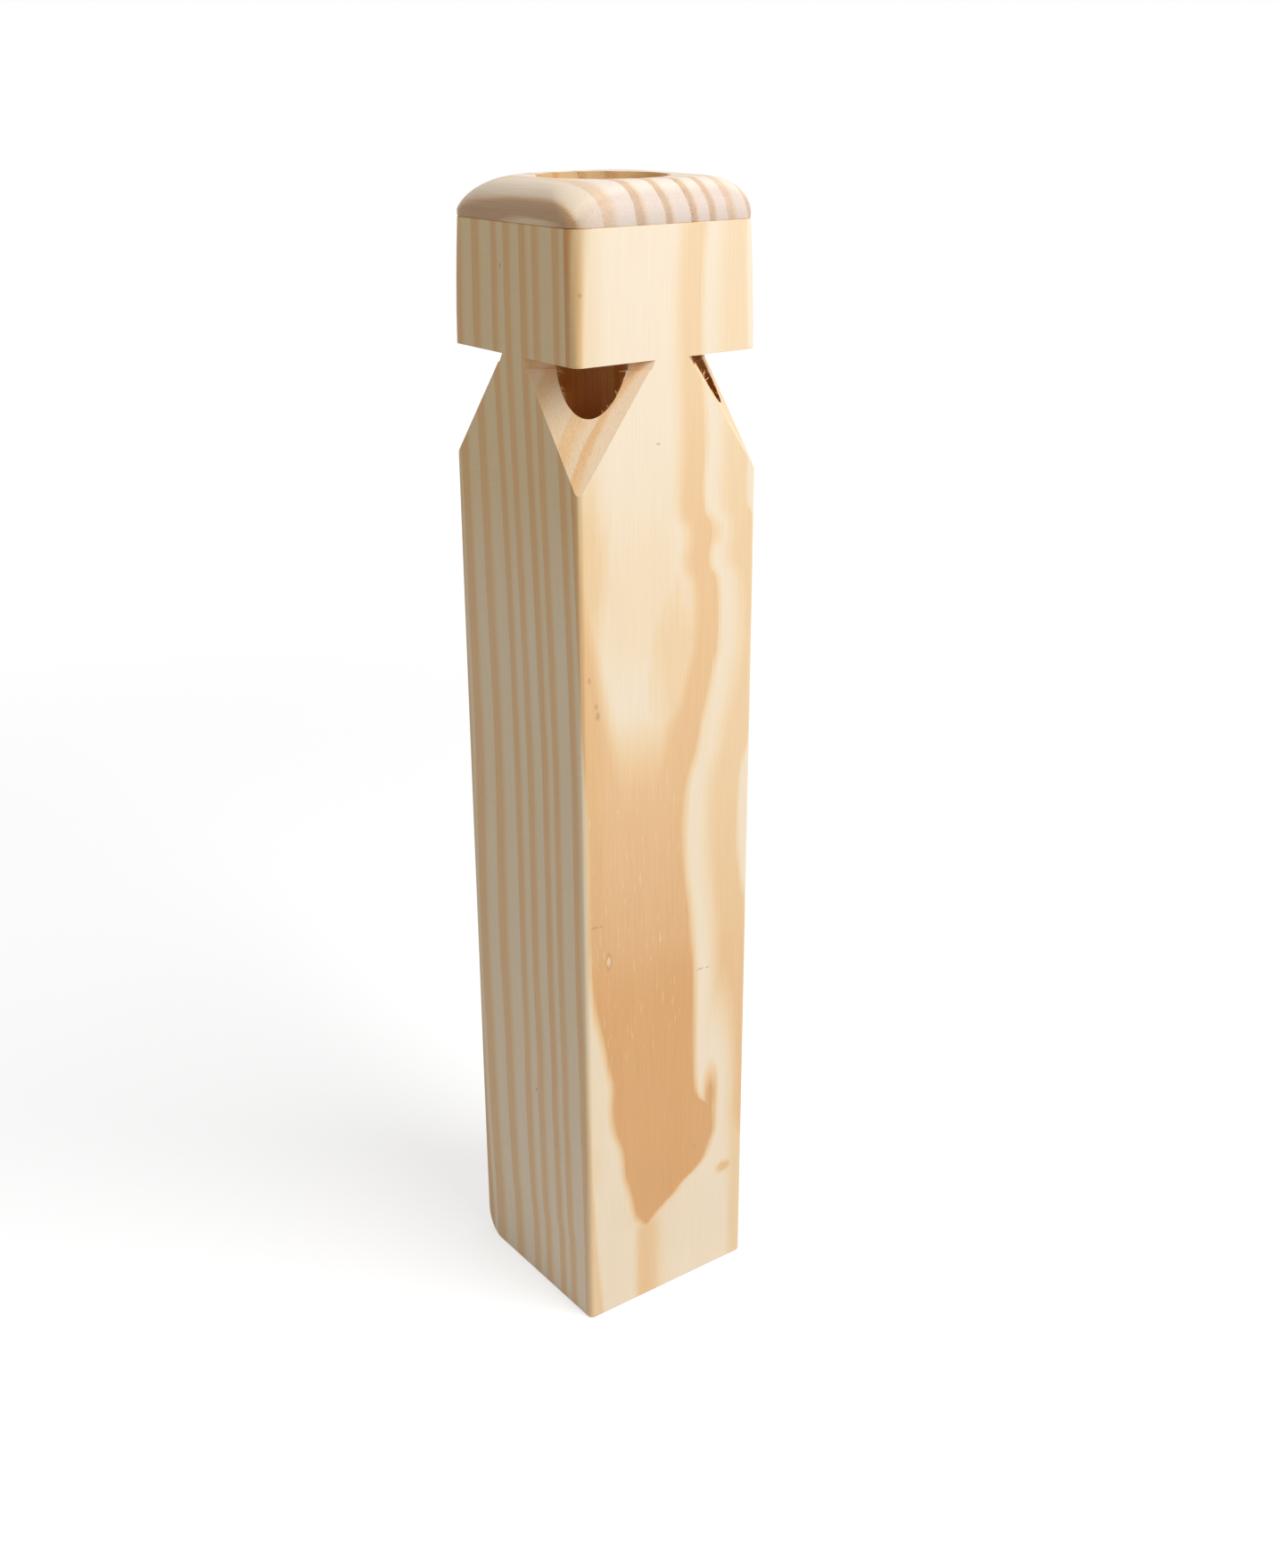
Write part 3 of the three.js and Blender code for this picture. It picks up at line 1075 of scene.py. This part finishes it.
# %% [markdown]
# No stick is perfect. Here the front has a few small grey or brown specks, one shallow
# blister, warm clouds in its upper half and a trace of a knot near the foot. Each mark is an
# oval with a place, a size and a strength, so short lists make them all. Noise frays their
# outlines: even noise for a speck, and noise drawn out along the grain for a cloud.

# %% Places of the marks
# Each mark: place across the face, height, half its width, half its height, strength
FRONT_SPECKS = [(-17.3, 132.3, 0.35, 0.7, 0.40), (-15.9, 127.4, 0.45, 0.7, 0.35),
                (-15.6, 125.6, 0.55, 0.9, 0.45), (-16.9, 85.4, 0.9, 0.25, 0.40),
                (-15.5, 85.2, 0.5, 0.25, 0.35), (7.6, 69.4, 0.9, 0.25, 0.40),
                (9.3, 69.2, 0.6, 0.22, 0.40), (-17.9, 196.0, 0.3, 0.45, 0.45),
                (-2.6, 171.0, 0.45, 0.25, 0.45), (6.5, 30.0, 0.3, 0.5, 0.25)]
LEFT_SPECKS = [(2.6, 199.0, 0.25, 0.6, 0.55), (-1.5, 44.0, 0.3, 0.5, 0.55)]
WARM_SPOTS = [(8.6, 154.2, 3.4, 3.6, 0.46), (6.0, 150.6, 3.0, 5.0, 0.42),
              (14.2, 22.4, 2.4, 1.7, 0.7), (-17.0, 151.0, 5.0, 16.0, 0.40),
              (2.5, 130.0, 8.0, 20.0, 0.43), (-6.0, 146.0, 10.0, 15.0, 0.17)]
FRAYING = 0.5
MARK_FADE = (0.4, 1.2)


def all_marks(across, height, marks, fraying):
    """The strongest of a list of marks at each point."""
    strongest = across * 0.0
    for *shape, strength in marks:
        far = oval(across, height, shape) + fraying
        strongest = strongest.at_least(far.between(*MARK_FADE, strength, 0.0))
    return strongest


print("the stick has", len(FRONT_SPECKS + LEFT_SPECKS), "specks and", len(WARM_SPOTS),
      "warm spots")

# %% [markdown]
# The marks are laid into the skin of their own face, so none runs on into the wood behind
# it. Warm spots are late wood that shines through. Specks darken the colour, while the middle
# of the blister and the small flecks, where fibres lifted, make it paler.

# %% Marks in the skin
SPECK_GRAIN = (0.5, 0.5, 0.5)
CLOUD_GRAIN = (2.0, 2.0, 14.0)
SKIN = (0.8 - HALF_WIDTH, 1.6 - HALF_WIDTH, 1.0, 0.0)
BLISTER = (-13.8, 77.6, 0.6, 1.5)
BLISTER_RIM = (0.1, 0.4, 0.3, 0.0)
BLISTER_MIDDLE = (0.3, 0.8, 0.5, 0.0)
FLECK_GRAIN = (0.24, 0.24, 4.5)
FLECKS = (0.30, 0.46)
FLECK_FOOT = (48.0, 62.0)
FLECK_TOP = (106.0, 118.0, 0.55, 0.0)
FLECK_RIGHT = (1.5, 4.0, 1.0, 0.0)

speck_fraying = place.noise(SPECK_GRAIN) * FRAYING
cloud_fraying = place.noise(CLOUD_GRAIN, detail=3.0) * FRAYING
front_skin = y.between(*SKIN)
left_skin = x.between(*SKIN)
late = late.at_least(all_marks(x, z, WARM_SPOTS, cloud_fraying) * front_skin)

blister = oval(x, z, BLISTER) + speck_fraying
blister_rim = abs(blister - 1.0).between(*BLISTER_RIM)
dark = all_marks(x, z, FRONT_SPECKS, speck_fraying).at_least(blister_rim)
flecks = place.noise(FLECK_GRAIN).between(*FLECKS)
flecks = flecks * z.between(*FLECK_FOOT) * z.between(*FLECK_TOP) * x.between(*FLECK_RIGHT)
pale = blister.between(*BLISTER_MIDDLE).at_least(flecks)
marks = (dark - pale) * front_skin + all_marks(y, z, LEFT_SPECKS, speck_fraying) * left_skin
print("the marks lie within", round(SKIN[1] + HALF_WIDTH, 1), "mm of the faces")

# %% [markdown]
# The cream of pine isn't even either. It is tanner along the left edge of the front and, a
# little, towards the foot, and soft clouds of tan drift through all of it. On the left side of
# the head the same tan tint is painted shade, darker towards the joint. Fine streaks along the
# grain are the fibres. With them the pattern is complete.

# %% Tan wood and fibres
TAN_EDGE = (-16.8, -12.0, 1.0, 0.0)
TAN_EDGE_RISE = (0.0, 110.0, 0.2, 0.45)
TAN_SIDE = (-19.0, -17.0, 1.0, 0.0)
TAN_SIDE_LOW = (10.0, 70.0, 0.0, 0.1)
# Painted shade: tan that darkens the left side of the head towards the joint
SHADE_SIDE_HIGH = (130.0, 190.0, 0.0, 0.8)
TAN_FOOT = (140.0, 205.0, 0.17, 0.0)
TAN_CLOUD_GRAIN = (6, 6, 34)
TAN_CLOUDS = 0.2
STREAK_GRAIN = (0.26, 0.26, 15)
STREAK_LUMPS = {"detail": 3.0, "roughness": 0.6}

tan_edge = x.between(*TAN_EDGE) * z.between(*TAN_EDGE_RISE)
tan_and_shade_side = x.between(*TAN_SIDE) * (z.between(*TAN_SIDE_LOW) + z.between(*SHADE_SIDE_HIGH))
tan_and_shade = (tan_edge + tan_and_shade_side).at_least(z.between(*TAN_FOOT))
tan_and_shade = tan_and_shade + place.noise(TAN_CLOUD_GRAIN) * TAN_CLOUDS
end_pattern(pine, (late, place.noise(STREAK_GRAIN, **STREAK_LUMPS), tan_and_shade, marks))

# %% [markdown]
# Now the colours. Pale early wood is cream, late wood is orange, and where a ring is only
# grazed the late wood lies broad and turns amber. Every finish is the same recipe with other
# numbers: ring colours, tan that includes some painted shade, fibre streaks, end grain, sanding
# scratches, a tint and marks.
#
# Where a face lies across the grain it is end grain, which is darker and full of pores. The
# shader can tell by the way the face looks. The belt sander ran across the left and right
# sides and left faint level scratches there, in patches.

# %% What the tools leave
PINE_COLOURS = [(0.0, (0.925, 0.785, 0.605)), (0.35, (0.905, 0.70, 0.455)),
                (0.62, (0.865, 0.595, 0.335)), (1.0, (0.74, 0.405, 0.17))]
# The tan tint, which on the left side of the head is painted shade
TAN_AND_SHADE_TINT = (0.90, 0.80, 0.60)
MARK_COLOUR = (0.36, 0.20, 0.11, 1.0)
END_FACING = (0.5, 0.85)
END_TINT = (0.88, 0.80, 0.70)
PORE_SIZE = (0.2, 0.2, 0.2)
PORE_SHADE = 0.16
SIDE_FACING = (0.5, 0.9)
SCRATCH_SIZE = (7.0, 7.0, 0.2)
SANDED_PATCH = (12.0, 12.0, 16.0)
SANDED_SHARE = (-0.1, 0.2)


def worked(colour, grain_way, end_tint, sanding):
    """Adds end grain across grain_way, its pores, and sanding scratches to a colour."""
    web = colour.web
    facing = web.flow("ShaderNodeTexCoord", output="Normal")
    inputs = {0: facing, 1: grain_way}
    along = web.flow("ShaderNodeVectorMath", inputs, output="Value", operation="DOT_PRODUCT")
    ends = abs(along).between(*END_FACING)
    place = place_in_mm(web)
    pores = place.noise(PORE_SIZE) * (ends * PORE_SHADE)
    sanded = abs(facing.parts()[0]).between(*SIDE_FACING, 0.0, sanding)
    sanded = sanded * place.noise(SANDED_PATCH).between(*SANDED_SHARE)
    scratches = place.noise(SCRATCH_SIZE) * sanded
    colour = ends.mix(colour, colour.tinted(end_tint))
    return colour.brightened(1.0 + (pores + scratches))


print("early wood is", PINE_COLOURS[0][1], "and late wood is", PINE_COLOURS[-1][1])

# %% [markdown]
# The recipe is a function, so the finishes differ only in their numbers. The fibres show
# more strongly in late wood. It is harder too, so it polishes a little glossier. The fibres
# also stand up as a faint relief, which a Bump node turns into bent light without adding a
# single face.

# %% The recipe for a finish
PLANED_DULLNESS = 0.56
LATE_POLISH = 0.12
LATE_STREAKS = 2.5
LATE_RELIEF = 0.8
MARK_DENT = 1.5
RELIEF_STRENGTH = 0.6


def wood_finish(material, pattern, colours, tint=(1.0, 1.0, 1.0), contrast=1.0, tan=1.0,
                streak_tint=0.06, relief_depth=0.02, dullness=PLANED_DULLNESS, sanding=0.0,
                grain_way=(0, 0, 1), end_tint=END_TINT):
    """Dresses a material with a wood pattern. Its numbers say how strongly each part shows."""
    material.use_nodes = True
    web = Web(material.node_tree)
    shader = web.tree.nodes["Principled BSDF"].inputs
    grain = web.node("ShaderNodeGroup", node_tree=pattern.tree).outputs
    late, streaks, tanned_and_shaded, marks = [Flow(web, grain[label]) for label in PATTERN_OUTPUTS]
    late = late * contrast
    colour = late.ramp(colours)
    # The tan here includes painted shade on the left side of the head
    colour = (tanned_and_shaded * tan).mix(colour, colour.tinted(TAN_AND_SHADE_TINT))
    streaking = late.between(0.0, 1.0, streak_tint, LATE_STREAKS * streak_tint, smooth=False)
    colour = colour.brightened(1.0 + streaking * streaks)
    # For the finishes inside holes the tint is painted shade and painted bounce light
    colour = worked(colour, grain_way, end_tint, sanding).tinted(tint)
    dark = marks.at_least(0.0)
    pale = (marks * -1.0).at_least(0.0)
    colour = dark.mix(colour, MARK_COLOUR)
    web.feed(shader["Base Color"], pale.mix(colour, (*colours[0][1], 1.0)))
    rough = late.between(0.0, 1.0, dullness, dullness - LATE_POLISH, smooth=False)
    web.feed(shader["Roughness"], rough)
    height = streaks + late * LATE_RELIEF - dark * MARK_DENT
    inputs = {"Height": height, "Strength": RELIEF_STRENGTH, "Distance": relief_depth * MM}
    web.feed(shader["Normal"], web.flow("ShaderNodeBump", inputs))


print("pale planed wood has a roughness of", PLANED_DULLNESS)

# %% [markdown]
# The planed outside is the cleanest. The sawn ramps are duller and pinker, because fresh saw
# cuts scatter the light. The bored tubes get a darker, more orange tint: that is painted shade
# and painted bounce light, for the light that bounces from wall to wall inside them and takes
# on the wood's colour each time. The floor of the mouth hole gets painted shade between the
# two, and torn fibres are thin enough to look tan.

# %% Finishes of the block
wood_finish(planed, pine, PINE_COLOURS, streak_tint=0.055, sanding=0.07)
wood_finish(sawn, pine, PINE_COLOURS, tint=(1.02, 0.915, 0.805), contrast=0.6, tan=0.3,
            streak_tint=0.12, relief_depth=0.05, dullness=0.66)
# Painted shade and bounce light: the tint darkens the tubes and turns them orange
wood_finish(bored, pine, PINE_COLOURS, tint=(0.93, 0.58, 0.24), streak_tint=0.25,
            relief_depth=0.08, dullness=0.62)
# Painted shade: the tint darkens the floor of the mouth hole
wood_finish(pocket, pine, PINE_COLOURS, tint=(0.97, 0.82, 0.60), streak_tint=0.15,
            relief_depth=0.05, dullness=0.66)
wood_finish(torn, pine, PINE_COLOURS, tint=(0.92, 0.76, 0.54), contrast=0.3,
            streak_tint=0.1, dullness=0.75)
print("finishes:", [material.name for material in (planed, sawn, bored, pocket, torn)])

# %% [markdown]
# The mouthpiece was cut from another board, with its grain from front to back. Its rings
# stand nearly upright, so the front and back show them as slanting bands of end grain,
# while the left side is parallel to them. There the roundover cuts down through one ring
# after another, and they show as flat arches lying inside each other.
#
# The place of a ring is counted across the plate. The tilt slants the bands on the front.
# The bow turns straight lines on the left side into arches, because it grows with the square
# of the way from one spot there. A broken seam of resin follows one of the rings.

# %% Pattern of the mouthpiece
# Each ring: place of its crisp edge across the plate, length of its fade, and how dark it gets
PLATE_RINGS = [(-19.34, 2.4, 1.0), (-13.3, 3.6, 0.54), (-6.7, 2.8, 0.72), (-1.1, 2.2, 0.72),
               (4.0, 2.2, 0.74), (8.0, 2.0, 0.70), (11.8, 2.4, 0.56), (16.2, 2.0, 0.62)]
PLATE_TILT = 0.20
PLATE_BOW = 1.0
BOW_MIDDLE = -6.0
FRONT_BOW = (1 + BOW_MIDDLE / HALF_WIDTH) ** 2
PLATE_WANDER_GRAIN = (9, 36, 5)
PLATE_WANDER = (-19, -14, 0.1, 0.45)
PLATE_ROUGH_GRAIN = (0.4, 9, 0.4)
PLATE_ROUGHNESS = 0.12
PLATE_STREAK_GRAIN = (0.26, 12, 0.26)
PLATE_TAN = (-18.0, -11.0, 0.55, 0.0)
RESIN_SEAM = 4.35
RESIN_WIDTH = (0.2, 0.55, 1.0, 0.0)
RESIN_GRAIN = (0.6, 3.0, 0.42)
RESIN_DROPS = (0.05, 0.2)
RESIN_DARKNESS = 0.42

board, place = start_pattern("plate_figure")
x, y, z = place.parts()
bow = ((y - BOW_MIDDLE) / HALF_WIDTH) ** 2.0 - FRONT_BOW
across = (x + (z - JOINT_HEIGHT) * PLATE_TILT) + bow * PLATE_BOW
wander = place.noise(PLATE_WANDER_GRAIN) * x.between(*PLATE_WANDER)
across = across + (wander + place.noise(PLATE_ROUGH_GRAIN, detail=3.0) * PLATE_ROUGHNESS)
mirrored_rings = [(-edge, fade, strength) for edge, fade, strength in PLATE_RINGS]
late = growth_rings(across * -1.0, mirrored_rings)
drops = place.noise(RESIN_GRAIN).between(*RESIN_DROPS)
seam = abs(across - RESIN_SEAM).between(*RESIN_WIDTH) * drops * RESIN_DARKNESS
streaks = place.noise(PLATE_STREAK_GRAIN, **STREAK_LUMPS)
end_pattern(board, (late, streaks, x.between(*PLATE_TAN), seam))

# %% [markdown]
# The plate's own colours are paler and pinker than the block's. The wall of its hole gets a
# finish of its own, whose golden tint is painted bounce light and painted shade, as in the
# tubes. Its faces are picked out by their distance from the middle.

# %% Finish of the mouthpiece
PLATE_COLOURS = [(0.0, (0.94, 0.815, 0.70)), (0.5, (0.885, 0.675, 0.48)),
                 (1.0, (0.58, 0.365, 0.215))]
PLATE_GRAIN = {"grain_way": (0, 1, 0), "end_tint": (0.79, 0.76, 0.765)}
WALL_MARGIN = 0.1

rounded = bpy.data.materials.new("rounded_pine")
hole_wall = bpy.data.materials.new("hole_wall_pine")
wood_finish(rounded, board, PLATE_COLOURS, streak_tint=0.11, relief_depth=0.04, dullness=0.6,
            **PLATE_GRAIN)
# Painted bounce light and shade: the tint makes the wall of the mouth hole darker and golden
wood_finish(hole_wall, board, PLATE_COLOURS, tint=(1.0, 0.84, 0.50), contrast=0.8,
            streak_tint=0.2, relief_depth=0.08, dullness=0.66, **PLATE_GRAIN)
plate.data.materials.append(rounded)
plate.data.materials.append(hole_wall)
wall_radius = (HOLE_RADIUS + WALL_MARGIN) * MM
wall_faces = [face for face in plate.data.polygons if face.center.xy.length < wall_radius]
for face in wall_faces:
    face.material_index = 1
print("the wall of the mouth hole has", len(wall_faces), "faces")

# %% [markdown]
# The plugs are dowel, a denser and darker wood than the pine. A rod is turned from a
# straight board, so its end shows arcs of rings whose middle lies outside the rod. All four
# plugs share one finish: the pattern is folded about both middle planes of the block, so
# each plug gets the same arcs as its neighbours, mirrored.

# %% Dowel finish
DOWEL_COLOURS = [(0.0, (0.74, 0.57, 0.38)), (1.0, (0.55, 0.37, 0.20))]
DOWEL_RING = 0.95
DOWEL_FADE = 0.8 * DOWEL_RING
DOWEL_DARKNESS = 0.7
DOWEL_RING_COUNT = 21
DOWEL_PITH = (14.0, 21.0)
DOWEL_WANDER_GRAIN = (1.5, 1.5, 20)
DOWEL_WANDER = 0.25
DOWEL_STREAK_GRAIN = (0.15, 0.15, 6)

rod, place = start_pattern("dowel_figure")
x, y, z = rod.vector("ABSOLUTE", place).parts()
radius = rod.math("SQRT", (x - DOWEL_PITH[0]) ** 2.0 + (y - DOWEL_PITH[1]) ** 2.0)
radius = radius + place.noise(DOWEL_WANDER_GRAIN) * DOWEL_WANDER
dowel_rings = [(DOWEL_RING * count, DOWEL_FADE, DOWEL_DARKNESS)
               for count in range(1, DOWEL_RING_COUNT + 1)]
late = growth_rings(radius, dowel_rings)
end_pattern(rod, (late, place.noise(DOWEL_STREAK_GRAIN, **STREAK_LUMPS)))

dowel = bpy.data.materials.new("dowel_end")
wood_finish(dowel, rod, DOWEL_COLOURS, streak_tint=0.12, relief_depth=0.04, dullness=0.62)
for plug in plugs.values():
    plug.data.materials.append(dowel)
print("each plug end crosses about", round(2 * BORE_RADIUS / DOWEL_RING), "rings")

# %% [markdown]
# Nothing on this whistle moves, so all pieces ride on the one body. Each piece also says which
# piece of the frame it stands for, and that piece of the frame is hidden.

# %% Put the pieces on the frame
PIECES = {block: ("body_block", "block_pine"), plate: ("mouthpiece", "mouthpiece_pine")}
PIECES.update({plug: ("fipple_plug_" + corner, "plug_dowel") for corner, plug in plugs.items()})
for piece, (node, slot) in PIECES.items():
    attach(piece, "root")
    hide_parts(node)
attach(fibres, "root")
